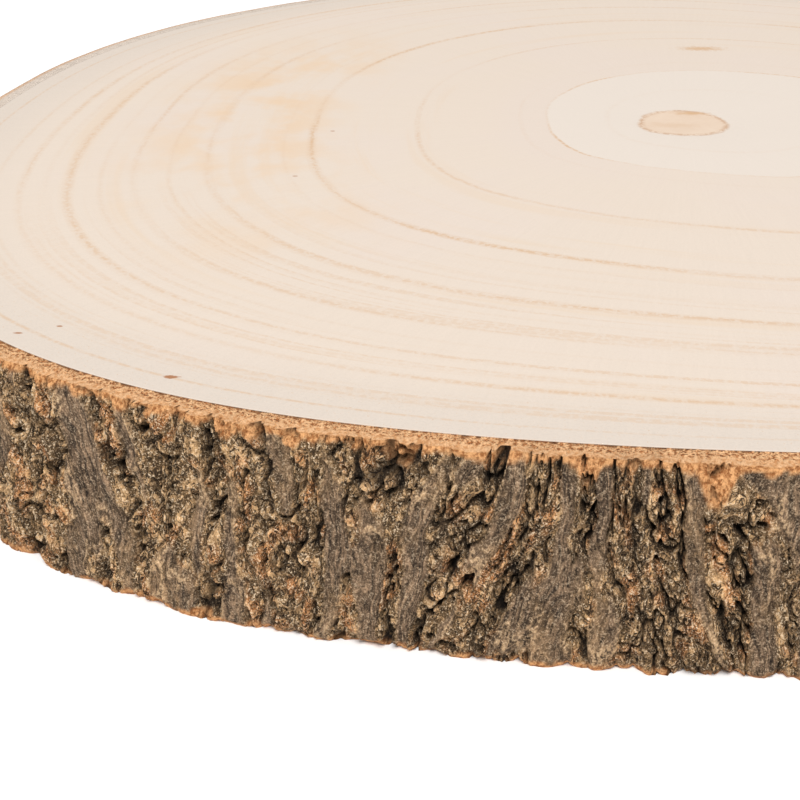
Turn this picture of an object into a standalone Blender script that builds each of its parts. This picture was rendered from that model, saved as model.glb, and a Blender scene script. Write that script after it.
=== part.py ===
"""A slice of a round tree trunk: pale sawn faces, pith and bark grown together as one solid."""

import math

import bmesh
import bpy
import numpy as np

# Driving dimensions, in metres
WOOD_RADIUS = 0.147  # mean distance from the pith to the bark
BARK_WIDTH = 0.0045  # from the wood to the crests of the bark
THICKNESS = 0.033

# How far the trunk is from round, as shares of WOOD_RADIUS: (waves round the trunk, cosine, sine)
OUTLINE_WAVES = (
    (1, -0.030, -0.059),
    (2, -0.006, 0.022),
    (3, 0.008, -0.021),
    (4, -0.013, 0.006),
    (5, 0.008, 0.004),
    (6, -0.001, -0.005),
)

# The bark's ridges and furrows
FURROW_DEPTH = 0.0016
FURROW_SHARPNESS = 2.2  # a higher value makes narrower furrows between broader ridges
RIDGE_WAVES = 14
FEWEST_RIDGES, MOST_RIDGES = 26, 58  # waves round the trunk
RIDGE_LEAN = 0.55  # most turns of phase that a ridge leans by, from the underside to the top
EDGE_BREAK = 0.0007  # how far the saw breaks the bark back at its two edges
SEED = 11

# The mesh
COLUMNS = 320
LEVELS = (0.0, 0.05, 0.2, 0.4, 0.6, 0.8, 0.95, 1.0)  # shares of THICKNESS


def clear_scene():
    for thing in list(bpy.data.objects):
        bpy.data.objects.remove(thing)


def principled(name, colour, roughness):
    """A plain Principled BSDF material."""
    material = bpy.data.materials.new(name)
    material.use_nodes = True
    material.diffuse_color = (*colour, 1.0)
    shader = material.node_tree.nodes["Principled BSDF"]
    shader.inputs["Base Color"].default_value = (*colour, 1.0)
    shader.inputs["Roughness"].default_value = roughness
    shader.inputs["Metallic"].default_value = 0.0
    return material


def wood_radius(angle):
    """Distance from the pith to the bark: a circle with a few low waves round it."""
    share = np.ones_like(angle)
    for waves, cosine, sine in OUTLINE_WAVES:
        share += cosine * np.cos(waves * angle) + sine * np.sin(waves * angle)
    return WOOD_RADIUS * share


def furrow_share(angle, height):
    """0 on a ridge's crest and 1 in a furrow's floor.

    Leaning waves of random phase are added up, and a furrow runs wherever their sum
    crosses zero, so the furrows wander, part and meet as they do on bark.
    """
    random = np.random.default_rng(SEED)
    total = np.zeros_like(angle + height)
    for _ in range(RIDGE_WAVES):
        waves = random.integers(FEWEST_RIDGES, MOST_RIDGES + 1)
        lean = random.uniform(-RIDGE_LEAN, RIDGE_LEAN)
        phase = random.uniform(0.0, math.tau)
        total += np.cos(waves * angle + math.tau * lean * height + phase)
    total /= math.sqrt(RIDGE_WAVES / 2)
    return np.exp(-FURROW_SHARPNESS * np.abs(total))


def wall_points():
    """The bark's outer surface as an array of LEVELS by COLUMNS by (x, y, z), about the pith."""
    angle = np.linspace(0.0, math.tau, COLUMNS, endpoint=False)[None, :]
    height = np.array(LEVELS)[:, None]
    radius = wood_radius(angle) + BARK_WIDTH - FURROW_DEPTH * furrow_share(angle, height)
    at_edge = (height == LEVELS[0]) | (height == LEVELS[-1])
    radius = radius - EDGE_BREAK * at_edge
    x = radius * np.cos(angle)
    y = radius * np.sin(angle)
    z = THICKNESS * height + 0.0 * angle
    return np.stack([x, y, z], axis=-1)


def make_wood_slice():
    """One closed solid: a furrowed wall between two flat sawn faces, its origin under its middle."""
    points = wall_points()
    flat = points.reshape(-1, 3)
    middle = (flat.min(axis=0) + flat.max(axis=0)) / 2
    pith = (-middle[0], -middle[1])

    form = bmesh.new()
    rings = []
    for level in points:
        ring = [form.verts.new((x + pith[0], y + pith[1], z)) for x, y, z in level]
        rings.append(ring)
    underside_pith = form.verts.new((*pith, 0.0))
    top_pith = form.verts.new((*pith, THICKNESS))

    for column in range(COLUMNS):
        following = (column + 1) % COLUMNS
        for lower, upper in zip(rings, rings[1:]):
            side = (lower[column], lower[following], upper[following], upper[column])
            form.faces.new(side).material_index = 1
        form.faces.new((rings[-1][column], rings[-1][following], top_pith))
        form.faces.new((rings[0][following], rings[0][column], underside_pith))
    bmesh.ops.triangulate(form, faces=[face for face in form.faces if len(face.verts) > 3])
    bmesh.ops.recalc_face_normals(form, faces=form.faces)

    mesh = bpy.data.meshes.new("wood_slice")
    form.to_mesh(mesh)
    form.free()
    mesh.materials.append(principled("sawn_wood", (0.86, 0.75, 0.61), 0.62))
    mesh.materials.append(principled("bark", (0.17, 0.13, 0.10), 0.92))
    mesh.shade_smooth()
    mesh.set_sharp_from_angle(angle=math.radians(40.0))

    wood_slice = bpy.data.objects.new("wood_slice", mesh)
    bpy.context.scene.collection.objects.link(wood_slice)
    return wood_slice


clear_scene()
make_wood_slice()
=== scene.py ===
# %% [markdown]
# # A slice of a round tree trunk
# A trunk of pale, soft wood has been sawn straight across, and the bark has stayed on. The two
# sawn faces show the pith, the yearly rings and, round them, the bark cut through. The outer wall
# is the bark itself: grey-brown fibrous plates that part and meet round rough corky patches,
# with dark fissures between them.
#
# The fixed frame comes first. It holds the size, and everything below is worked out from it.

# %% Load the frame
import itertools
import math

import bpy
import numpy as np
from mathutils import Matrix, Vector


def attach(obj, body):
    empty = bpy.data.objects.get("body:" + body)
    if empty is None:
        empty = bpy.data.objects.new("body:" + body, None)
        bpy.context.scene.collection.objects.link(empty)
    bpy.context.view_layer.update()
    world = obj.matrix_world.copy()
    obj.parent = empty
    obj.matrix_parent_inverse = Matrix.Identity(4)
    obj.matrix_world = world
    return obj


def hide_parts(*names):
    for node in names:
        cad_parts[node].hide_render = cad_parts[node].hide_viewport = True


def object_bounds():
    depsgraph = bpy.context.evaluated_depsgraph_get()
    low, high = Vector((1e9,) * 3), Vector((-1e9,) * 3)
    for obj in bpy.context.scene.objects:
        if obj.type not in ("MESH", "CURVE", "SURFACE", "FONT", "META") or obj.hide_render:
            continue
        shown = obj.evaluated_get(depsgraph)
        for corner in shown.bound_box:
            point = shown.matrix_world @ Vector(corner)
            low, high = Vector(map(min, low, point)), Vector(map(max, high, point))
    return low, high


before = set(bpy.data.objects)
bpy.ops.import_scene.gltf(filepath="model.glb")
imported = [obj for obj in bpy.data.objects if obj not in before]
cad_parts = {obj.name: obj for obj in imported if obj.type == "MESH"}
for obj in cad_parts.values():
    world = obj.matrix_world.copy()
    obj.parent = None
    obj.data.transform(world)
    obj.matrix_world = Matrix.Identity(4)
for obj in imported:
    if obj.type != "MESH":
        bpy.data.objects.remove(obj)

cad_lowest, cad_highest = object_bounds()
print("slice:", [round(1000 * side, 1) for side in cad_highest - cad_lowest], "mm")

# %% [markdown]
# ## Where the tree grew
# A trunk grows outwards from its pith, so every ring and every flake of bark is placed by a turn
# about the pith and a distance from it. The frame's top face is a fan of triangles from the pith
# to the rim, so the pith is the one point of that face that lies far inside the rim.

# %% Find the pith and the outline
MM = 0.001
THICKNESS = cad_highest.z
FACE_SLACK = 0.01 * MM  # a point this near the top face counts as on it
WOOD_RADIUS = 0.147  # mean distance from the pith to the bark
BARK_WIDTH = 0.0045  # from the wood to the crests of the bark
OUTLINE_WAVES = (  # waves round the trunk, and their cosine and sine shares of WOOD_RADIUS
    (1, -0.030, -0.059),
    (2, -0.006, 0.022),
    (3, 0.008, -0.021),
    (4, -0.013, 0.006),
    (5, 0.008, 0.004),
    (6, -0.001, -0.005),
)


def find_pith(node):
    """The point of the node's top face that is nearest to the middle of the slice."""
    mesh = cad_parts[node].data
    points = np.empty(3 * len(mesh.vertices), np.float32)
    mesh.vertices.foreach_get("co", points)
    points = points.reshape(-1, 3)
    top = points[points[:, 2] > THICKNESS - FACE_SLACK]
    return top[np.hypot(top[:, 0], top[:, 1]).argmin(), :2].astype(float)


def wood_radius(turn):
    """Distance from the pith to the bark: a circle with a few low waves round it."""
    share = np.ones_like(turn)
    for waves, cosine, sine in OUTLINE_WAVES:
        share += cosine * np.cos(waves * turn) + sine * np.sin(waves * turn)
    return WOOD_RADIUS * share


pith = find_pith("wood_slice")
print("pith:", (pith / MM).round(2), "mm from the middle of the slice")

# %% [markdown]
# ## The camera
# The slice is seen from close by and from a little above, so that the front rim runs off both
# sides of the view and the pith lies far back. The camera is placed by the pith: so far in front
# of it, so far to its left and so high over the sawn face. It looks along +Y, dips by a little
# over a quarter of a right angle, and leans a touch to one side. A long lens keeps the rim from
# bulging.

# %% Place the camera
LENS = 74.75  # mm
SENSOR_WIDTH = 36.0  # mm
NEAREST_SEEN = 0.01
DIP = math.radians(25.58)
ROLL = math.radians(0.51)
PITH_AHEAD = 0.3406
PITH_TO_THE_RIGHT = 0.0592
CAMERA_OVER_FACE = 0.0976

forward = Vector((0.0, math.cos(DIP), -math.sin(DIP)))
across = Vector((1.0, 0.0, 0.0))
upward = across.cross(forward)
right = math.cos(ROLL) * across + math.sin(ROLL) * upward
overhead = math.cos(ROLL) * upward - math.sin(ROLL) * across

camera_data = bpy.data.cameras.new("camera")
camera_data.lens = LENS
camera_data.sensor_width = SENSOR_WIDTH
camera_data.clip_start = NEAREST_SEEN
camera = bpy.data.objects.new("camera", camera_data)
camera.matrix_world = Matrix.Translation(
    (pith[0] - PITH_TO_THE_RIGHT, pith[1] - PITH_AHEAD, THICKNESS + CAMERA_OVER_FACE)
) @ Matrix((right, overhead, -forward)).transposed().to_4x4()
bpy.context.scene.collection.objects.link(camera)
bpy.context.scene.camera = camera
print("camera at", [round(c / MM) for c in camera.location], "mm")

# %% [markdown]
# ## Noise that runs round a trunk
# Nothing on a tree repeats, so every shape below starts from noise. *Gradient noise* gives each
# corner of a grid of cells a random direction, and blends the slopes of the eight corners round
# a point: it makes smooth hills and hollows of one size. The line where it crosses nought wanders
# as a crack does, so creases and fissures are made from it too.
#
# It is read on a cylinder about the pith, so it joins up after a full turn, and `wide` and `tall`
# say how far apart the hills are round the trunk and up it, in millimetres.

# %% Noise
TABLE = 4096  # how many random numbers the noise draws on
ROUND_MM = 150.0  # the radius of the cylinder that the noise is read on


def corner_number(x, y, z, shuffle):
    """A repeatable random whole number for each cell corner, by looking it up three times."""
    first = shuffle[x % TABLE]
    second = shuffle[(first + y) % TABLE]
    return shuffle[(second + z) % TABLE]


def gradient_noise(x, y, z, seed):
    """Hills and hollows about 0, mostly within 0.5 of it.

    In each cell the blend across a side is 6t^5 - 15t^4 + 10t^3, which is level at both ends.
    """
    random = np.random.default_rng(seed)
    shuffle = random.permutation(TABLE)
    directions = random.normal(size=(TABLE, 3))
    directions /= np.linalg.norm(directions, axis=1)[:, None]
    x, y, z = np.broadcast_arrays(x, y, z)
    cells = [np.floor(axis).astype(int) for axis in (x, y, z)]
    inside = [axis - cell for axis, cell in zip((x, y, z), cells)]
    blends = [t**3 * (t * (6.0 * t - 15.0) + 10.0) for t in inside]
    total = np.zeros(x.shape)
    for step in itertools.product((0, 1), repeat=3):
        number = corner_number(*(cell + s for cell, s in zip(cells, step)), shuffle)
        slope = directions[number]
        rise = sum(slope[..., k] * (inside[k] - step[k]) for k in range(3))
        share = math.prod([blends[k] if step[k] else 1.0 - blends[k] for k in range(3)])
        total += share * rise
    return total


def round_trunk(turn, height, wide, tall, seed):
    """Gradient noise read at a turn about the pith and a height in millimetres."""
    x = ROUND_MM * np.cos(turn) / wide
    y = ROUND_MM * np.sin(turn) / wide
    return gradient_noise(x, y, height / tall, seed)


def fade(value, start, end):
    """0 before start and 1 after end, with the soft bend 3t^2 - 2t^3 between them.

    Start may be the higher of the two.
    """
    t = np.clip((value - start) / (end - start), 0.0, 1.0)
    return t * t * (3.0 - 2.0 * t)


print("noise on a cylinder of", ROUND_MM, "mm, from tables of", TABLE)

# %% [markdown]
# ## The bark's grid
# The bark is a ring about 4 mm wide. It is worked out once, all the way round, as a grid: columns
# a quarter of a millimetre apart round the trunk, and rows that run across the underside, up the
# outer wall and inwards over the sawn top. One mesh of it would be too heavy to handle, so it is
# cut into four pieces of equal length, and neighbours have the same points where they meet.

# %% Lay out the columns and the rows
BARK_PIECES = ("bark_left", "bark_front", "bark_right", "bark_back")
COLUMNS_PER_PIECE = 976
FIRST_JOINT = math.radians(-226.0)
UNDERSIDE_ROWS = 5
WALL_ROWS = 84
TOP_ROWS = 11
EVEN_SHARE = 0.82  # of the wall rows' spacing; the rest of it grows towards the two edges
STEPS_PER_COLUMN = 8  # how finely the girth is measured

columns = COLUMNS_PER_PIECE * len(BARK_PIECES)
fine_turn = FIRST_JOINT + np.linspace(0.0, math.tau, STEPS_PER_COLUMN * columns + 1)
fine_radius = wood_radius(fine_turn) + BARK_WIDTH
steps = np.hypot(
    np.diff(fine_radius * np.cos(fine_turn)), np.diff(fine_radius * np.sin(fine_turn))
)
girth = steps.sum()
turn = np.interp(
    np.linspace(0.0, girth, columns, endpoint=False),
    np.concatenate([[0.0], np.cumsum(steps)]),
    fine_turn,
)[None, :]
# With r from -1 to 1, a row stands at the share 0.5 + 0.5 (0.82 r + 0.18 r^5) of the height, so
# rows are closest half way up, and twice as far apart at the edges, where the relief is smoother.
rise = np.linspace(-1.0, 1.0, WALL_ROWS)[:, None]
wall_share = 0.5 + 0.5 * (EVEN_SHARE * rise + (1.0 - EVEN_SHARE) * rise**5)
height = wall_share * THICKNESS / MM + 0.0 * turn
print(f"girth {girth:.3f} m, columns {girth / columns / MM:.2f} mm apart")
row_gaps = np.diff(height[:, 0])
print(f"wall rows {row_gaps.min():.2f} to {row_gaps.max():.2f} mm apart")

# %% [markdown]
# ## The bark's relief
# As the trunk grows, its smooth skin splits into long leaning lenses. Inside a lens the cork is
# rough and warty, with near-black fissures down it. Between the lenses the old skin stays as
# smoother plates with fine upright fibres, and where skin meets cork its layers stand up as thin
# pale lips. All of it is written here as a depth in millimetres, inwards from the crests.
#
# The same fields also say what each point *is*: cork, a ridge, a fissure, a lip or freshly broken
# bark. They are kept as masks, because the colours are painted by them, and the ridges, fissures
# and depth also place painted highlight and painted shade.

# %% Work out the relief
DEEPEST = 3.9  # mm below the crests
FISSURE_DEPTH = 2.0  # mm below the bark beside it


def unevenly(turn, height):
    """Turn, pushed about: the bark leans this way and that, and its edges are ragged.

    The push is a slow noise times the height over the middle, plus a middling and a fine noise.
    """
    lean = 0.80 * round_trunk(turn, height, 30.0, 60.0, 1)
    sway = 2.6 * round_trunk(turn, height, 7.0, 17.0, 2)
    rag = 0.75 * round_trunk(turn, height, 1.6, 3.2, 3)
    middle = 0.5 * THICKNESS / MM
    return turn + (lean * (height - middle) + sway + rag) / ROUND_MM


def calm_side(turn):
    """1 round the back of the slice, where the saw left a clean edge, and 0 round the front."""
    return fade(np.sin(turn), -0.2, 0.1)


def bark_relief(turn, height):
    """Depth below the crests in millimetres, and what each point is, as numbers from 0 to 1.

    The depth is the plates' own, changed to the cork's inside the lenses, with the fissures added.
    Towards each sawn edge it changes to that edge's depth, by an exponential of the way to it.
    """
    leaning = unevenly(turn, height)

    def hills(wide, tall, seed):
        return round_trunk(leaning, height, wide, tall, seed)

    # Lenses of cork lie where this field is high, and plates where it is low.
    lens = hills(3.9, 30.0, 10) + 0.30 * hills(1.9, 8.0, 11) + 0.10
    cork = fade(lens, -0.03, 0.05)

    def layers(thin, tall, seed):
        """Noise drawn out along the edges of the lenses, as the bark's layers are."""
        return gradient_noise(lens / thin, 4.0 * hills(9.0, 22.0, 4), height / tall, seed)

    # Plates have long low hills, with seams and pale lips near the edges of the lenses.
    near_edge = np.exp(-(((lens + 0.02) / 0.07) ** 2))
    seams = layers(0.085, 12.0, 12)
    threads = layers(0.034, 7.0, 28)
    lip = fade(seams + 0.6 * threads, 0.12, 0.26) * (0.10 + 0.90 * near_edge)
    plate_depth = 1.0 + 0.8 * hills(3.8, 20.0, 13) - (0.20 + 0.60 * near_edge) * seams
    grain = hills(0.55, 1.3, 29)
    plate_depth -= 0.24 * threads + 0.30 * grain + 0.25 * lip

    # Wrinkled cork: rounded lumps, with a crease where a noise crosses nought and wrinkles
    # that run round each lump.
    large = np.abs(hills(2.4, 6.2, 15))
    small = np.abs(hills(1.1, 2.4, 16))
    wrinkles = gradient_noise(large / 0.075, 3.0 * hills(5.0, 9.0, 5), height / 6.0, 27)
    gape = fade(hills(3.2, 8.0, 19), -0.18, 0.08)
    crease = np.maximum(gape * fade(large, 0.085, 0.02), 0.75 * gape * fade(small, 0.07, 0.01))
    cork_depth = 1.5 + 1.4 * hills(3.0, 8.0, 14) - 2.6 * np.minimum(large, 0.45) - 0.9 * small
    crumbs = hills(0.7, 1.1, 6)
    cork_depth += 1.1 * crease - 0.5 * seams - 0.65 * wrinkles - 0.40 * crumbs

    # Fissures follow the lines where another field crosses nought, inside the lenses.
    line = hills(2.7, 24.0, 17) + 0.26 * hills(1.1, 2.2, 18) + 0.12 * hills(0.6, 0.9, 7)
    breadth = 0.035 + 0.15 * np.clip(hills(2.6, 5.0, 20) + 0.14, 0.0, 1.0)
    open_here = fade(hills(4.5, 12.0, 21), -0.20, -0.04) * fade(lens, -0.03, 0.05)
    fissure = fade(np.abs(line) / breadth, 1.0, 0.35) * open_here

    depth = plate_depth + (cork_depth - plate_depth) * cork
    depth += FISSURE_DEPTH * fissure

    # Along both sawn edges the relief is cut smoother. The saw has bitten patches out of the top
    # edge, except round the back, and the bottom one is a row of shallow scallops with nicks.
    from_top = THICKNESS / MM - height
    broken = round_trunk(turn, 0.0, 4.6, 1.0, 22)
    reach = 1.0 + 13.0 * np.clip(broken - 0.03, 0.0, 1.0)
    reach = reach + 1.3 * round_trunk(turn, height, 1.8, 1.6, 23)
    up_here = from_top / np.maximum(reach, 0.3)
    worn = fade(up_here, 1.25, 0.70)
    calm = calm_side(turn)
    ragged = 0.75 + 1.1 * round_trunk(turn, 0.0, 5.0, 1.0, 31) + 0.45 * depth
    clean = 0.5 + 0.35 * round_trunk(turn, 0.0, 14.0, 1.0, 8) + 0.02 * depth
    top_edge = ragged + (clean - ragged) * calm
    depth = depth + (top_edge - depth) * np.exp(-from_top / (0.6 + 1.4 * calm))
    bite = np.clip(1.0 - up_here, 0.0, 1.0) * fade(from_top, 0.0, 1.2)
    depth += 0.65 * bite * (1.0 - calm)
    nick = np.abs(round_trunk(turn, 7.0, 6.5, 1.0, 24))
    bottom_edge = 0.45 + 0.7 * fade(nick, 0.06, 0.0) + 1.3 * fade(nick, 0.34, 0.0)
    bottom_edge = bottom_edge + 0.30 * depth
    depth = depth + (bottom_edge - depth) * np.exp(-((height / 1.5) ** 1.5))
    depth += 0.40 * np.exp(-height / 0.35)
    rim_height = 0.7 + 2.2 * round_trunk(turn, height, 2.2, 2.4, 25)
    worn = np.maximum(worn, fade(height, rim_height + 0.5, rim_height - 0.2))

    # What each point is. The ridge mask is about 0.5, higher where the bark stands up and lower in
    # creases: it places painted highlight and painted shade. The fissure mask places painted shade.
    blob = fade(hills(2.4, 4.4, 26), 0.02, 0.22) * cork * fade(large, 0.03, 0.15)
    plate_shading = 1.1 * threads + 1.0 * grain
    cork_shading = 1.3 * wrinkles + 0.8 * crumbs + 0.5 * seams - 0.25 * crease
    masks = {
        "cork": cork,
        "ridge_shading": np.clip(0.5 + plate_shading + (cork_shading - plate_shading) * cork, 0.0, 1.0),
        "fissure": np.maximum(fissure, 0.8 * crease * cork),
        "lip": lip * (1.0 - fissure),
        "worn": worn,
        "blob": blob,
    }
    # Fibres bend round the lenses, so they are read from places pushed aside by the lens field.
    bent = leaning + 3.2 * lens / ROUND_MM
    fibre_place = np.stack([ROUND_MM * np.cos(bent), ROUND_MM * np.sin(bent), height], axis=-1)
    return np.clip(depth, 0.0, DEEPEST), masks, fibre_place


wall_depth, wall_masks, wall_fibres = bark_relief(turn, height)
print(f"bark depth: mean {wall_depth.mean():.2f} mm, deepest {wall_depth.max():.2f} mm")

# %% [markdown]
# ## From relief to points
# On the wall a point's distance from the pith is the crest's, less the relief. The sawn strip on
# top runs from the wall's upper edge in to the wood: it was cut flat, but its soft layers have
# crumbled a little, most of all along the wood, and it falls away at its outer edge. The
# underside strip lies flat on the table.

# %% Place the bark's points
STRIP_FALL = 0.16  # mm that the sawn strip lies below the slice's top
CLEAN_FALL = 0.10  # the same along the wood, and where the saw left the strip clean
MASK_DEPTH = 4.0  # mm of depth that the depth mask counts as 1
NEAR_THE_WOOD = 0.02  # share of the strip's width between its last two rows

crest = wood_radius(turn) + BARK_WIDTH
wall_radius = crest - wall_depth * MM
calm = calm_side(turn)
edge_fall = 0.35 + 0.9 * (1.0 - calm) * np.clip(
    round_trunk(turn, 3.0, 4.0, 1.0, 30) + 0.15, 0.0, 1.0
)
top_edge = THICKNESS - edge_fall * MM
wall_height = height * MM * top_edge / THICKNESS

inward = np.linspace(1.0, 0.0, TOP_ROWS + 1)[1:, None]
inward[-2] = NEAR_THE_WOOD
top_radius = wood_radius(turn) + (wall_radius[-1:] - wood_radius(turn)) * inward
across_mm = (top_radius - wood_radius(turn)) / MM
crumbs = round_trunk(turn, across_mm, 0.55, 0.55, 31)
crumbs += 0.6 * round_trunk(turn, across_mm, 1.7, 0.9, 32)
groove = np.exp(-(((across_mm - 0.12) / 0.22) ** 2))
groove *= fade(round_trunk(turn, 0.0, 1.8, 1.0, 33), -0.12, 0.2)
top_fall = STRIP_FALL + 0.30 * np.abs(crumbs) * fade(inward, 0.0, 0.1) + 0.22 * groove
top_fall = CLEAN_FALL + (top_fall - CLEAN_FALL) * (1.0 - 0.85 * calm)
top_height = THICKNESS - MM * (top_fall + (edge_fall - STRIP_FALL) * inward**1.7)
top_height[-1] = THICKNESS - CLEAN_FALL * MM

outward = np.linspace(0.0, 1.0, UNDERSIDE_ROWS + 1)[:-1, None]
under_radius = wood_radius(turn) + (wall_radius[:1] - wood_radius(turn)) * outward
under_height = 0.0 * under_radius

bark_radius = np.concatenate([under_radius, wall_radius, top_radius])
bark_height = np.concatenate([under_height, wall_height, top_height])


def over_all_rows(on_wall, on_strips):
    """One mask for every row: the wall's own values, and one value on both sawn strips."""
    under = np.full_like(under_radius, on_strips)
    top = np.full_like(top_radius, on_strips)
    return np.concatenate([under, on_wall, top])


bark_masks = {name: over_all_rows(mask, 0.0) for name, mask in wall_masks.items()}
bark_masks["worn"] = over_all_rows(wall_masks["worn"], 1.0)
# The depth mask places painted shade, darker where the bark lies deeper.
bark_masks["depth"] = over_all_rows(wall_depth / MASK_DEPTH, 0.0)
# The sawn strips count from 1 at the wood to 0 where the wall starts.
bark_masks["sawn"] = np.concatenate(
    [1.0 - outward + 0.0 * turn, 0.0 * wall_radius, 1.0 - inward + 0.0 * turn]
)
bark_masks["clean"] = 0.0 * bark_masks["sawn"]
bark_masks["clean"][-TOP_ROWS:] = calm
bark_fibres = np.concatenate([
    np.broadcast_to(wall_fibres[:1], (UNDERSIDE_ROWS, columns, 3)),
    wall_fibres,
    np.broadcast_to(wall_fibres[-1:], (TOP_ROWS, columns, 3)),
])
print("bark rows:", len(bark_radius), "points:", bark_radius.size)

# %% [markdown]
# ## Making the meshes
# Each bark piece takes its share of the columns. Neighbouring columns and rows are joined by
# quads, the last row is joined back to the first along the wood, and each end is closed by one
# flat face with a corner on every row. A flat face also keeps its neighbours' shading to
# themselves, so the joint between two pieces doesn't show.
#
# Each piece also gets a UV map. The long strip of bark is folded in two and laid out at a true
# scale.

# %% Build the bark pieces
MARGIN = 0.006  # of the UV map's side, kept clear round each strip
HIDDEN_SHARE = 0.03  # of the map's height, for the inner wall that nobody sees
END_U, END_V = 0.5, 0.985  # the middle of the patch that both end faces share on the UV map
END_WIDE, END_HIGH = 0.02, 0.01  # its half width and half height


def add_mesh(name, points, corners, sizes, smooth):
    """A mesh from arrays: points, the corners of all faces in a row, and each face's size."""
    mesh = bpy.data.meshes.new(name)
    mesh.vertices.add(len(points))
    mesh.vertices.foreach_set("co", points.astype(np.float32).ravel())
    mesh.loops.add(len(corners))
    mesh.loops.foreach_set("vertex_index", corners.astype(np.int32))
    mesh.polygons.add(len(sizes))
    starts = np.concatenate([[0], np.cumsum(sizes)[:-1]])
    mesh.polygons.foreach_set("loop_start", starts.astype(np.int32))
    mesh.update(calc_edges=True)
    mesh.polygons.foreach_set("use_smooth", smooth)
    return mesh


def add_masks(mesh, masks):
    """Stores one number for each point under each mask's name, for the finishes to read."""
    for name, values in masks.items():
        attribute = mesh.attributes.new(name, "FLOAT", "POINT")
        attribute.data.foreach_set("value", values.astype(np.float32).ravel())


def add_places(mesh, name, places):
    """Stores one vector for each point, for a pattern that follows the surface."""
    attribute = mesh.attributes.new(name, "FLOAT_VECTOR", "POINT")
    attribute.data.foreach_set("vector", places.astype(np.float32).ravel())


def add_object(name, mesh):
    """Puts a mesh in the scene at the origin, unturned."""
    thing = bpy.data.objects.new(name, mesh)
    bpy.context.scene.collection.objects.link(thing)
    return thing


def bark_piece(name, first):
    """One length of bark, from column `first` on: a grid of quads and two flat ends."""
    picked = (first + np.arange(COLUMNS_PER_PIECE + 1)) % columns
    radius = bark_radius[:, picked]
    where = turn[0, picked]
    x = pith[0] + radius * np.cos(where)
    y = pith[1] + radius * np.sin(where)
    points = np.stack([x, y, bark_height[:, picked]], axis=-1).reshape(-1, 3)

    rows = len(radius)
    wide = COLUMNS_PER_PIECE + 1
    row, column = np.mgrid[0:rows, 0:COLUMNS_PER_PIECE]
    row, column = row.ravel(), column.ravel()
    above = (row + 1) % rows
    quads = np.stack([
        row * wide + column,
        row * wide + column + 1,
        above * wide + column + 1,
        above * wide + column,
    ], axis=-1)
    first_end = np.arange(rows) * wide
    last_end = first_end[::-1] + COLUMNS_PER_PIECE
    corners = np.concatenate([quads.ravel(), first_end, last_end])
    sizes = np.concatenate([np.full(len(quads), 4), [rows, rows]])
    smooth = np.ones(len(sizes), bool)
    smooth[-2:] = False
    mesh = add_mesh(name, points, corners, sizes, smooth)
    add_masks(mesh, {key: values[:, picked] for key, values in bark_masks.items()})
    add_places(mesh, "fibre", bark_fibres[:, picked])

    # UV: the way along the strip, and the way round the bark's cross-section.
    half = COLUMNS_PER_PIECE // 2
    strip = column // half
    strip_length = half * girth / columns
    way_up = np.concatenate([
        np.linspace(0.0, BARK_WIDTH, UNDERSIDE_ROWS, endpoint=False),
        BARK_WIDTH + wall_share[:, 0] * THICKNESS,
        BARK_WIDTH + THICKNESS + BARK_WIDTH * (1.0 - inward[:, 0]),
    ]) / strip_length
    column_corner = np.stack([column, column + 1, column + 1, column], axis=-1)
    along = (column_corner - (strip * half)[:, None]) / half
    up = np.stack([way_up[row], way_up[row], way_up[above], way_up[above]], axis=-1)
    hidden = row == rows - 1
    up[hidden] = np.array([0.0, 0.0, HIDDEN_SHARE, HIDDEN_SHARE])
    strip_rise = MARGIN + strip * (way_up[-1] + 2 * HIDDEN_SHARE + 2 * MARGIN)
    up = up + strip_rise[:, None] + np.where(hidden, way_up[-1] + MARGIN, 0.0)[:, None]
    side = np.stack([MARGIN + (1 - 2 * MARGIN) * along, (1 - 2 * MARGIN) * up], axis=-1)
    end_uv = np.stack(
        [END_U + END_WIDE * np.cos(first_end), END_V + END_HIGH * np.sin(first_end)], axis=-1
    )
    uv = np.concatenate([side.reshape(-1, 2), end_uv, end_uv])
    mesh.uv_layers.new(name="OFBake").data.foreach_set("uv", uv.astype(np.float32).ravel())
    mesh.validate()
    return add_object(name, mesh)


def count_triangles(thing):
    """A face with n corners makes n - 2 triangles."""
    return sum(len(face.vertices) - 2 for face in thing.data.polygons)


bark = [bark_piece(name, k * COLUMNS_PER_PIECE) for k, name in enumerate(BARK_PIECES)]
for piece in bark:
    print(piece.name, count_triangles(piece), "triangles")

# %% [markdown]
# ## The wood
# The wood is one disc that fills the ring of bark. It is a polar grid about the pith: rows are
# shares of the way from the pith to the bark, so they are already shaped like the rings. Real
# rings, though, were not scaled copies of today's outline: when the tree was young it grew
# faster on one side. A *ring coordinate* bends the share by that side, and every ring is then
# simply one value of it.
#
# The sawn face is nearly flat. The pith has shrunk a little, and the rest is uneven by a few
# hundredths of a millimetre. The bark hides the side, and its faces are shaded flat, so that the
# rim of the sawn face isn't shaded as if it curved down.

# %% Build the wood
WOOD_COLUMNS = 900
# Rows as shares of the way out: close together at the pith, and a very narrow one at the rim.
TOP_SHARES = np.concatenate([np.linspace(0.012, 0.12, 12), np.linspace(0.14, 0.9985, 50), [1.0]])
UNDER_SHARES = np.linspace(1.0, 0.04, 14)
SIDE_LEVELS = (0.985, 0.5, 0.015)
RING_LEAN_X, RING_LEAN_Y = -0.42, -0.17  # how much nearer a young ring lies on each side
WOOD_CLEARANCE = 0.02 * MM  # between the wood and the bark
HOLLOW_DEPTH = 0.22  # mm that the pith has shrunk by
HOLLOW_REACH = 0.075  # the ring coordinate at which the hollow has faded to about a third
UNEVENNESS = 0.02  # mm that the face lies low by on average
UNEVEN_APART = 0.009
FACE_UV, FACE_UV_MIDDLE = 0.40, 0.41  # the top face's radius and place on the UV map
UNDER_UV, UNDER_UV_MIDDLE = 0.085, 0.91
SIDE_UV_LENGTH, SIDE_UV_ROW = 0.8, 0.03
UV_EDGE = 0.01


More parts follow.
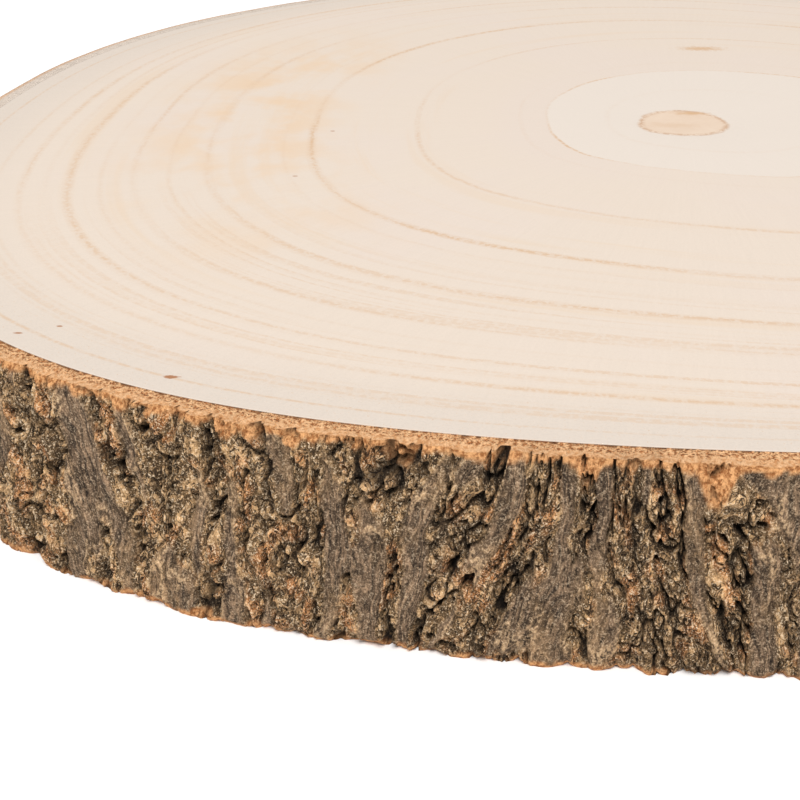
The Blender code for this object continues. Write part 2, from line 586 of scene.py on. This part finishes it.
def ring_coordinate(share, turn):
    """0 at the pith and 1 at the bark: share + share (1 - share) (a cos + b sin)."""
    tilt = RING_LEAN_X * np.cos(turn) + RING_LEAN_Y * np.sin(turn)
    return share + share * (1.0 - share) * tilt


def make_wood():
    """A closed polar grid: a top face, the hidden side and the underside.

    A point is a share of the way from the pith to the bark at its turn. The top is lower by the
    hollow, which is its depth times exp(-(ring / reach)^2), and by the unevenness.
    """
    around = np.linspace(0.0, math.tau, WOOD_COLUMNS, endpoint=False)[None, :]
    edge = wood_radius(around) - WOOD_CLEARANCE
    share = np.concatenate([TOP_SHARES, np.ones(len(SIDE_LEVELS)), UNDER_SHARES])[:, None]
    level = np.concatenate([
        np.ones(len(TOP_SHARES)), SIDE_LEVELS, np.zeros(len(UNDER_SHARES)),
    ])[:, None]
    radius = share * edge
    ring = ring_coordinate(share, around)
    x = pith[0] + radius * np.cos(around)
    y = pith[1] + radius * np.sin(around)
    hollow = HOLLOW_DEPTH * np.exp(-((ring / HOLLOW_REACH) ** 2))
    uneven = UNEVENNESS * (1.0 + gradient_noise(x / UNEVEN_APART, y / UNEVEN_APART, 0.0 * x, 40))
    z = THICKNESS * level - MM * (hollow + uneven) * (level == 1.0)
    points = np.stack([x, y, z + 0.0 * x], axis=-1).reshape(-1, 3)
    poles = [[*pith, THICKNESS - (HOLLOW_DEPTH + UNEVENNESS) * MM], [*pith, 0.0]]
    points = np.concatenate([points, poles])

    rows = len(share)
    row, column = np.mgrid[0:rows - 1, 0:WOOD_COLUMNS]
    row, column = row.ravel(), column.ravel()
    beside = (column + 1) % WOOD_COLUMNS
    quads = np.stack([
        row * WOOD_COLUMNS + column,
        (row + 1) * WOOD_COLUMNS + column,
        (row + 1) * WOOD_COLUMNS + beside,
        row * WOOD_COLUMNS + beside,
    ], axis=-1)
    here = np.arange(WOOD_COLUMNS)
    following = (here + 1) % WOOD_COLUMNS
    last = (rows - 1) * WOOD_COLUMNS
    top_pole = rows * WOOD_COLUMNS + 0 * here
    top_fan = np.stack([top_pole, here, following], axis=-1)
    under_fan = np.stack([top_pole + 1, last + following, last + here], axis=-1)
    corners = np.concatenate([quads.ravel(), top_fan.ravel(), under_fan.ravel()])
    sizes = np.concatenate([np.full(len(quads), 4), np.full(2 * WOOD_COLUMNS, 3)])
    smooth = np.concatenate([row < len(TOP_SHARES) - 1, np.ones(2 * WOOD_COLUMNS, bool)])
    mesh = add_mesh("wood", points, corners, sizes, smooth)

    flat_share = (share + 0.0 * around).ravel()
    add_masks(mesh, {
        "ring": np.append((ring + 0.0 * around).ravel(), [0.0, 0.0]),
        "share": np.append(flat_share, [0.0, 0.0]),
    })
    rays = np.stack([
        np.cos(around) + 0.0 * share, np.sin(around) + 0.0 * share, share + 0.0 * around,
    ], axis=-1).reshape(-1, 3)
    add_places(mesh, "ray", np.concatenate([rays, np.zeros((2, 3))]))

    # UV: the top face large in one corner, the underside small in another, the side as a strip.
    fan_rows = np.repeat([0, rows - 1], 3 * WOOD_COLUMNS)
    corner_row = np.concatenate([np.stack([row, row + 1, row + 1, row], axis=-1).ravel(), fan_rows])
    face_row = np.concatenate([np.repeat(row, 4), fan_rows])
    reach = 1.01 * edge.max()
    flat = (points[corners][:, :2] - pith) / reach
    uv = 0.5 + 0.0 * flat
    on_top = face_row < len(TOP_SHARES) - 1
    first_under = len(TOP_SHARES) + len(SIDE_LEVELS)
    under = face_row >= first_under
    side = ~(on_top | under)
    uv[on_top] = FACE_UV_MIDDLE + FACE_UV * flat[on_top]
    uv[under] = UNDER_UV_MIDDLE + UNDER_UV * flat[under]
    column_corner = np.concatenate([
        np.stack([column, column, column + 1, column + 1], axis=-1).ravel(),
        np.zeros(6 * WOOD_COLUMNS, int),
    ])
    uv[side, 0] = UV_EDGE + SIDE_UV_LENGTH * column_corner[side] / WOOD_COLUMNS
    uv[side, 1] = 1.0 - UV_EDGE - SIDE_UV_ROW * (corner_row[side] - len(TOP_SHARES) + 1)
    mesh.uv_layers.new(name="OFBake").data.foreach_set("uv", uv.astype(np.float32).ravel())
    mesh.validate()
    return add_object("wood", mesh)


wood = make_wood()
print("wood", count_triangles(wood), "triangles")

# %% [markdown]
# ## Writing finishes as sums
# A finish in Blender is a graph of nodes, and maths with many nodes is hard to read. So a small
# class wraps a socket: adding, multiplying or comparing two of them adds the Math node for it.
# `Finish.node` adds any other node: its settings first, because they decide which sockets it
# has, then the values or links of its sockets.

# %% A value and a finish
class Value:
    """A number that varies over a surface. Arithmetic on it adds Math nodes to its finish."""

    def __init__(self, finish, socket):
        self.finish = finish
        self.socket = socket

    def maths(self, operation, *numbers, clamp=False):
        settings = {"operation": operation, "use_clamp": clamp}
        return self.finish.node("ShaderNodeMath", settings, dict(enumerate(numbers)))

    def __add__(self, other):
        return self.maths("ADD", self, other)

    def __radd__(self, other):
        return self.maths("ADD", other, self)

    def __sub__(self, other):
        return self.maths("SUBTRACT", self, other)

    def __rsub__(self, other):
        return self.maths("SUBTRACT", other, self)

    def __mul__(self, other):
        return self.maths("MULTIPLY", self, other)

    def __rmul__(self, other):
        return self.maths("MULTIPLY", other, self)

    def __truediv__(self, other):
        return self.maths("DIVIDE", self, other)

    def __abs__(self):
        return self.maths("ABSOLUTE", self)

    def clamped(self):
        return self.maths("ADD", self, 0.0, clamp=True)

    def most(self, other):
        return self.maths("MAXIMUM", self, other)


class Finish:
    """A material built up node by node."""

    def __init__(self, name):
        self.material = bpy.data.materials.new(name)
        self.material.use_nodes = True
        self.tree = self.material.node_tree
        self.tree.nodes.clear()
        self.place = self.node("ShaderNodeTexCoord", output="Object")

    def node(self, kind, settings=None, values=None, output=0):
        """Adds a node, sets it up, then fills its sockets with numbers or links."""
        made = self.tree.nodes.new(kind)
        for key, setting in (settings or {}).items():
            setattr(made, key, setting)
        for key, value in (values or {}).items():
            if isinstance(value, Value):
                self.tree.links.new(value.socket, made.inputs[key])
            else:
                made.inputs[key].default_value = value
        return None if output is None else Value(self, made.outputs[output])

    def mask(self, name, output="Fac"):
        """A number stored at the mesh's points, or a vector if output is "Vector"."""
        return self.node("ShaderNodeAttribute", {"attribute_name": name}, output=output)

    def fade(self, value, start, end):
        """0 before start, 1 after end, and a soft bend between."""
        settings = {"interpolation_type": "SMOOTHSTEP"}
        values = {"Value": value, "From Min": start, "From Max": end}
        return self.node("ShaderNodeMapRange", settings, values)

    def vector_maths(self, operation, *vectors):
        """LENGTH gives a number, and every other operation a vector."""
        output = "Value" if operation == "LENGTH" else "Vector"
        settings = {"operation": operation}
        return self.node("ShaderNodeVectorMath", settings, dict(enumerate(vectors)), output)

    def speckle(self, apart, detail=2.0, stretch=(1.0, 1.0, 1.0), place=None, rough=0.5, swirl=0.0):
        """Noise from 0 to 1, with hills about `apart` from each other in the place's own units."""
        scale = tuple(1.0 / (apart * s) for s in stretch)
        scaled = self.vector_maths("MULTIPLY", place or self.place, scale)
        values = {
            "Vector": scaled, "Scale": 1.0, "Detail": detail, "Roughness": rough,
            "Distortion": swirl,
        }
        return self.node("ShaderNodeTexNoise", {}, values)

    def blend(self, under, over, share):
        """The colour `under`, covered by `over` as far as share says."""
        return self.node(
            "ShaderNodeMix", {"data_type": "RGBA"}, {0: share, 6: under, 7: over}, output=2
        )

    def shade(self, colour, strength):
        """A colour made darker or lighter by a number about 1."""
        grey = self.node("ShaderNodeCombineColor", {}, {0: strength, 1: strength, 2: strength})
        return self.node(
            "ShaderNodeMix",
            {"data_type": "RGBA", "blend_type": "MULTIPLY"},
            {0: 1.0, 6: colour, 7: grey},
            output=2,
        )

    def surface(self, colour, roughness, bumps, **settings):
        """Closes the finish: bumps is a list of (height in metres, strength)."""
        normal = None
        for height, strength in bumps:
            values = {"Height": height, "Strength": strength, "Distance": 1.0}
            if normal is not None:
                values["Normal"] = normal
            normal = self.node("ShaderNodeBump", {}, values)
        values = {"Base Color": colour, "Roughness": roughness, "Normal": normal, **settings}
        shader = self.node("ShaderNodeBsdfPrincipled", {}, values)
        self.node("ShaderNodeOutputMaterial", {}, {"Surface": shader}, output=None)
        return self.material


def tone(red, green, blue):
    """A colour given on the 0 to 255 scale of a paint chart, as the linear light Blender uses."""
    parts = np.array([red, green, blue]) / 255.0
    linear = np.where(parts <= 0.04045, parts / 12.92, ((parts + 0.055) / 1.055) ** 2.4)
    return (*linear.tolist(), 1.0)


print("finish helpers ready")

# %% [markdown]
# ## The bark's finish
# Bark has no single colour. The plates are grey-brown, streaked by their fibres. The cork is a
# warmer brown and a little lighter, peppered with light grains, with orange blobs where it has
# broken lately. Lips are pale. Raised cork gets a painted highlight, and the pores, creases,
# fissures and deep bark get painted shade, almost black in the fissures. Where the saw passed,
# the cut cork is orange-tan, and round the back it is a clean pale edge.
#
# Each colour is laid over the last one as far as a mask or a noise says, as a painter would.

# %% The bark's colours, roughness and fine bumps
DARK_PLATE, PALE_PLATE = tone(61, 48, 37), tone(146, 119, 93)
DARK_CORK, PALE_CORK = tone(78, 59, 37), tone(184, 147, 104)
ORANGE_CORK = tone(186, 121, 68)
LIP = tone(206, 170, 128)
# painted highlight on the tops of the cork's ridges
CORK_RIDGE_HIGHLIGHT = tone(206, 168, 124)
GLINT = tone(226, 202, 170)
# painted shade in the pores and creases
PORE_SHADE = tone(40, 27, 15)
# painted shade on the floor of the fissures
FISSURE_SHADE = tone(24, 13, 5)
DARK_CUT, PALE_CUT = tone(206, 148, 98), tone(232, 184, 138)
DARK_INNER, PALE_INNER = tone(176, 112, 64), tone(234, 186, 138)
DARK_BREAK, PALE_BREAK = tone(154, 98, 54), tone(224, 166, 112)
CUT_PIT = tone(112, 68, 36)
CLEAN_BAST = tone(224, 210, 196)


def make_bark_finish():
    finish = Finish("bark")
    cork = finish.mask("cork")
    fissure = finish.mask("fissure")
    lip = finish.mask("lip")
    ridge_shading = finish.mask("ridge_shading")
    worn = finish.mask("worn")
    blob = finish.mask("blob")
    depth = finish.mask("depth")
    sawn = finish.mask("sawn")
    clean = finish.mask("clean")
    threads = finish.mask("fibre", "Vector")

    dust = finish.speckle(0.00028, 2.0, rough=0.75)
    fine = finish.speckle(0.00060, 3.0, (1.0, 1.0, 1.4), rough=0.65)
    wrinkle = finish.speckle(0.0016, 3.0, (1.0, 1.0, 1.8), rough=0.6, swirl=1.2)
    patches = finish.speckle(0.006, 3.0, (1.0, 1.0, 2.5))
    fibre = finish.speckle(0.34, 3.0, (1.0, 1.0, 16.0), place=threads, rough=0.7)
    creases = finish.fade(abs(wrinkle - 0.5), 0.045, 0.005)
    pores = finish.fade(dust + 0.6 * fine, 0.66, 0.56)
    glints = finish.fade(dust + 0.6 * fine, 0.84, 0.96) * (0.35 + 0.65 * cork)

    # Streaked plates, with mottled cork over them, the pale lips between the two, and a painted
    # highlight on the cork's ridges.
    plate = finish.blend(DARK_PLATE, PALE_PLATE, finish.fade(fibre, 0.34, 0.70))
    rough = finish.blend(DARK_CORK, PALE_CORK, finish.fade(wrinkle, 0.30, 0.68))
    rough = finish.blend(rough, ORANGE_CORK, 0.7 * blob * finish.fade(fine, 0.34, 0.50))
    corky = (0.9 * cork + 0.3 * finish.fade(patches, 0.50, 0.62)).clamped()
    colour = finish.blend(plate, rough, corky)
    colour = finish.blend(colour, LIP, 0.6 * lip * finish.fade(fine, 0.42, 0.54))
    colour = finish.blend(colour, CORK_RIDGE_HIGHLIGHT, 0.4 * cork * finish.fade(ridge_shading, 0.74, 1.0))

    # Light and dark from grain to grain, with painted highlight on raised bark and painted shade on
    # low bark, then the glints, and painted shade in the pores and creases.
    contrast = (2.6 + 1.0 * cork) * (dust - 0.5) + 1.5 * (fine - 0.5) + 0.9 * (ridge_shading - 0.5)
    colour = finish.shade(colour, 1.02 + contrast)
    colour = finish.blend(colour, GLINT, 0.9 * glints)
    # painted shade in the pores and creases
    pit_and_crease_shade = (0.75 * pores).most(0.95 * creases * (0.2 + 0.8 * cork))
    colour = finish.blend(colour, PORE_SHADE, pit_and_crease_shade)

    # The sawn strip: a coarse inner band along the wood, a finer outer one, and broken bark.
    grit = finish.fade(fine, 0.36, 0.60)
    coarse = finish.fade(sawn, 0.35, 0.55)
    cut = finish.blend(DARK_CUT, PALE_CUT, grit)
    inner = finish.blend(DARK_INNER, PALE_INNER, grit)
    cut = finish.blend(cut, inner, coarse)
    broken = finish.blend(DARK_BREAK, PALE_BREAK, grit)
    cut = finish.blend(broken, cut, finish.fade(sawn, 0.0, 0.1))
    cut = finish.shade(cut, 1.0 + (0.3 + 0.9 * coarse) * (dust - 0.5))
    seam = finish.fade(sawn, 0.88, 0.96) * finish.fade(wrinkle, 0.43, 0.54)
    pits = finish.fade(dust + 0.8 * fine, 0.86, 0.74) * coarse
    cut = finish.blend(cut, CUT_PIT, (0.75 * seam.most(pits)).clamped())
    colour = finish.blend(colour, cut, (worn * (0.55 + 1.0 * patches)).clamped())

    # The clean pale edge round the back, and at last painted shade: near black in the fissures, and
    # darker the deeper the bark lies.
    pale_bast = clean * (0.35 + 0.65 * finish.fade(sawn, 0.10, 0.45))
    colour = finish.blend(colour, CLEAN_BAST, 0.95 * pale_bast)
    colour = finish.blend(colour, FISSURE_SHADE, (0.95 * fissure).clamped())
    hollow = finish.fade(depth, 0.30, 0.80)
    colour = finish.shade(colour, 1.0 - 0.6 * hollow * (1.0 - worn))

    bumps = [
        (0.00050 * wrinkle * (0.3 + 0.7 * cork) + 0.00045 * fine, 1.0),
        (0.00024 * dust + 0.00022 * fibre * (1.0 - cork), 1.0),
    ]
    return finish.surface(colour, 0.86 + 0.12 * fine, bumps, **{"Specular IOR Level": 0.25})


bark_finish = make_bark_finish()
for piece in bark:
    piece.data.materials.append(bark_finish)
print("bark finish:", len(bark_finish.node_tree.nodes), "nodes")

# %% [markdown]
# ## The wood's finish
# The sawn wood is cream. Each year's late wood is a thin warm line, and the lines differ: some
# are broad and soft, some are rows of fine flecks. The pith is a tan disc with a speckled rim,
# the core round it is the whitest wood, and the young sapwood under the bark is a little darker.
#
# Everything that follows the rings is a function of the ring coordinate. The lines, and the few
# specks and stains of this one slice, are listed first.

# %% The wood's colours, roughness and fine bumps
RING_LINES = (  # ring coordinate, half width and strength of each line
    (0.150, 0.008, 0.08),
    (0.262, 0.004, 1.00),
    (0.310, 0.006, 0.12),
    (0.482, 0.006, 0.40),
    (0.633, 0.008, 0.75),
    (0.668, 0.004, 0.15),
    (0.755, 0.007, 0.60),
    (0.795, 0.004, 0.16),
    (0.829, 0.006, 0.50),
    (0.860, 0.004, 0.20),
    (0.888, 0.006, 0.40),
    (0.908, 0.004, 0.20),
    (0.926, 0.005, 0.50),
    (0.948, 0.003, 0.24),
    (0.982, 0.002, 0.45),
)
# Specks and stains: millimetres right of and behind the pith, half width, half depth, strength.
SPECKS = (
    (-91.1, -129.9, 1.10, 0.55, 0.9),
    (-110.1, -112.2, 0.55, 0.30, 0.8),
    (-115.8, -114.9, 0.80, 0.35, 0.8),
    (-73.5, -9.0, 0.45, 0.40, 0.6),
    (-79.4, -39.0, 0.55, 0.45, 0.5),
)
STAINS = (
    (14.0, 64.6, 6.50, 2.60, 0.75),
    (2.4, 7.2, 4.20, 1.50, 0.80),
    (-3.0, -2.0, 7.00, 2.50, 0.20),
)


CREAM = tone(220, 205, 190)
CORE = tone(221, 209, 197)
SAPWOOD = tone(213, 200, 187)
COOL_WOOD = tone(219, 204, 193)
BROAD_GROWTH = tone(220, 197, 172)
WARM_STAIN = tone(223, 193, 160)
LATE_WOOD = tone(208, 174, 140)
WOOD_PORE = tone(190, 158, 128)
DARK_PITH, PALE_PITH = tone(214, 188, 164), tone(228, 208, 188)
PITH_RIM = tone(188, 148, 114)
SPECK = tone(164, 106, 62)
STAIN = tone(204, 164, 122)


def way_from_spot(finish, across_mm, behind_mm, half_wide, half_deep):
    """0 in the middle of a speck or stain and 1 at the edge of its oval, in any direction."""
    centre = (pith[0] + across_mm * MM, pith[1] + behind_mm * MM, 0.0)
    offset = finish.vector_maths("SUBTRACT", finish.place, centre)
    scale = (1.0 / (half_wide * MM), 1.0 / (half_deep * MM), 0.0)
    return finish.vector_maths("LENGTH", finish.vector_maths("MULTIPLY", offset, scale))


def make_wood_finish():
    finish = Finish("sawn_wood")
    ring = finish.mask("ring")
    share = finish.mask("share")
    ray = finish.mask("ray", "Vector")

    slow = finish.speckle(0.030, 2.0)
    mid = finish.speckle(0.006, 2.0)
    fine = finish.speckle(0.0005, 3.0, rough=0.65)
    flecks = finish.speckle(0.0009, 2.0, rough=0.6)
    wobbled = ring + (0.014 * (slow - 0.5) + 0.007 * (mid - 0.5)) * (1.1 - share)
    side = finish.node("ShaderNodeSeparateXYZ", {}, {0: ray}, output="X")
    depthwise = finish.node("ShaderNodeSeparateXYZ", {}, {0: ray}, output="Y")
    sector = finish.node("ShaderNodeCombineXYZ", {}, {0: side, 1: depthwise, 2: 7.0 * wobbled})
    growth = finish.speckle(0.22, 4.0, (6.0, 6.0, 1.0), place=sector, rough=0.6)
    close_rings = finish.speckle(0.07, 2.0, (24.0, 24.0, 1.0), place=sector, rough=0.6)
    stain = finish.speckle(0.20, 3.0, (1.0, 1.0, 3.0), place=sector, rough=0.6)
    cool = finish.fade(finish.speckle(0.038, 3.0), 0.45, 0.70)
    strokes = finish.speckle(0.0032, 2.0, (1.0, 1.0, 9.0), place=ray)
    rays = finish.speckle(0.010, 2.0, (1.0, 1.0, 14.0), place=ray)

    # A ring line is a narrow peak on the ring coordinate, stronger and weaker round the trunk.
    # Between the listed lines, close fine rings show at the front, in the outer third.
    lines = 0.0 * ring
    for centre, half_width, strength in RING_LINES:
        near = (1.0 - abs(wobbled - centre) / half_width).clamped()
        lines = lines + strength * near
    lines = lines * (0.25 + 1.2 * finish.fade(growth, 0.38, 0.62))
    front = finish.fade(depthwise, -0.3, -0.8) * finish.fade(wobbled, 0.66, 0.80)
    lines = lines + 0.35 * front * finish.fade(close_rings, 0.52, 0.64)
    lines = (lines * (0.35 + 0.8 * finish.fade(flecks, 0.38, 0.58))).clamped()

    # A warm stain follows the rings on the left, about seven tenths of the way out.
    left = finish.fade(side, -0.55, -0.95)
    stained = (1.4 - abs(wobbled - 0.72) / 0.11).clamped() * left * finish.fade(stain, 0.38, 0.66)
    near_core = finish.fade(wobbled, 0.40, 0.30) * finish.fade(side, 0.0, -0.7)

    # The wood's own colours, then its lines, pores and grain.
    core = finish.fade(wobbled, 0.266, 0.258)
    sapwood = finish.fade(share, 0.86, 0.99)
    pale = 1.0 - core.most(sapwood)
    colour = finish.blend(CREAM, CORE, core)
    colour = finish.blend(colour, SAPWOOD, sapwood)
    colour = finish.blend(colour, COOL_WOOD, (0.4 * cool + 0.45 * near_core) * pale)
    broad = finish.fade(growth, 0.52, 0.70) * finish.fade(wobbled, 0.3, 0.6)
    colour = finish.blend(colour, BROAD_GROWTH, 0.45 * broad * pale)
    colour = finish.blend(colour, WARM_STAIN, 0.7 * stained * pale)
    colour = finish.blend(colour, LATE_WOOD, 0.9 * lines)
    pores = finish.fade(fine, 0.60, 0.70) * (0.12 + 0.4 * sapwood)
    colour = finish.blend(colour, WOOD_PORE, pores)
    grain = 0.04 * (strokes - 0.5) + 0.03 * (rays - 0.5) + (0.10 + 0.14 * sapwood) * (fine - 0.5)
    colour = finish.shade(colour, 1.0 + grain)

    # The pith, a disc with a speckled rim, and then the specks and stains.
    way_out = share + 0.012 * (mid - 0.5)
    heart = finish.fade(way_out, 0.068, 0.060)
    rim = (1.0 - abs(way_out - 0.062) / 0.007).clamped() * finish.fade(flecks, 0.38, 0.56)
    pith_colour = finish.blend(DARK_PITH, PALE_PITH, mid)
    colour = finish.blend(colour, pith_colour, heart)
    colour = finish.blend(colour, PITH_RIM, 0.7 * rim)
    for spots, ink, full_within in ((SPECKS, SPECK, 0.6), (STAINS, STAIN, 0.1)):
        for *place_and_size, strength in spots:
            away = way_from_spot(finish, *place_and_size)
            spot = finish.fade(away + 1.5 * (flecks - 0.5), 1.2, full_within)
            colour = finish.blend(colour, ink, strength * spot)

    bumps = [(0.00006 * fine + 0.00003 * strokes, 0.6)]
    return finish.surface(colour, 0.62 + 0.2 * fine, bumps, **{"Specular IOR Level": 0.3})


wood_finish = make_wood_finish()
wood.data.materials.append(wood_finish)
print("wood finish:", len(wood_finish.node_tree.nodes), "nodes")

# %% [markdown]
# ## Floor and light
# A plain white floor and a white world give the even light of a light tent. One large soft lamp,
# high up in front and a little to the left, adds just enough direction for the bark's relief to
# read.

# %% Set the stage
FLOOR_SIDE = 16.0
WORLD_STRENGTH = 0.46
LAMP_WATTS = 250.0
LAMP_SIDE = 1.8
LAMP_PLACE = Vector((-0.5, -3.0, 4.0))
FLOOR_GAP = 0.02 * MM  # keeps the floor from touching the underside

floor_points = FLOOR_SIDE / 2 * np.array([
    (-1.0, -1.0, 0.0), (1.0, -1.0, 0.0), (1.0, 1.0, 0.0), (-1.0, 1.0, 0.0),
])
floor_points[:, 2] -= FLOOR_GAP
floor_mesh = add_mesh("floor", floor_points, np.arange(4), np.array([4]), np.array([False]))
floor = add_object("floor", floor_mesh)
paper = Finish("floor_paper")
mottle = paper.speckle(0.4, 1.0)
white = paper.blend(tone(250, 250, 250), tone(254, 254, 254), mottle)
floor_mesh.materials.append(paper.surface(white, 0.9, [(0.0001 * paper.speckle(0.004), 0.05)]))

world = bpy.data.worlds.new("light_tent")
world.use_nodes = True
background = world.node_tree.nodes["Background"]
background.inputs["Color"].default_value = (1.0, 1.0, 1.0, 1.0)
background.inputs["Strength"].default_value = WORLD_STRENGTH
bpy.context.scene.world = world

lamp_data = bpy.data.lights.new("soft_lamp", "AREA")
lamp_data.shape = "SQUARE"
lamp_data.size = LAMP_SIDE
lamp_data.energy = LAMP_WATTS
lamp = bpy.data.objects.new("soft_lamp", lamp_data)
lamp.location = LAMP_PLACE
lamp.rotation_euler = (-LAMP_PLACE).to_track_quat("-Z", "Y").to_euler()
bpy.context.scene.collection.objects.link(lamp)
bpy.context.scene.view_settings.view_transform = "Standard"
print("lamp", round(LAMP_PLACE.length, 2), "m away")

# %% [markdown]
# ## Taking the frame's place
# The wood and the four lengths of bark together stand for the one solid of the frame, which is
# hidden.

for piece in (wood, *bark):
    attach(piece, "root")
    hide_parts("wood_slice")
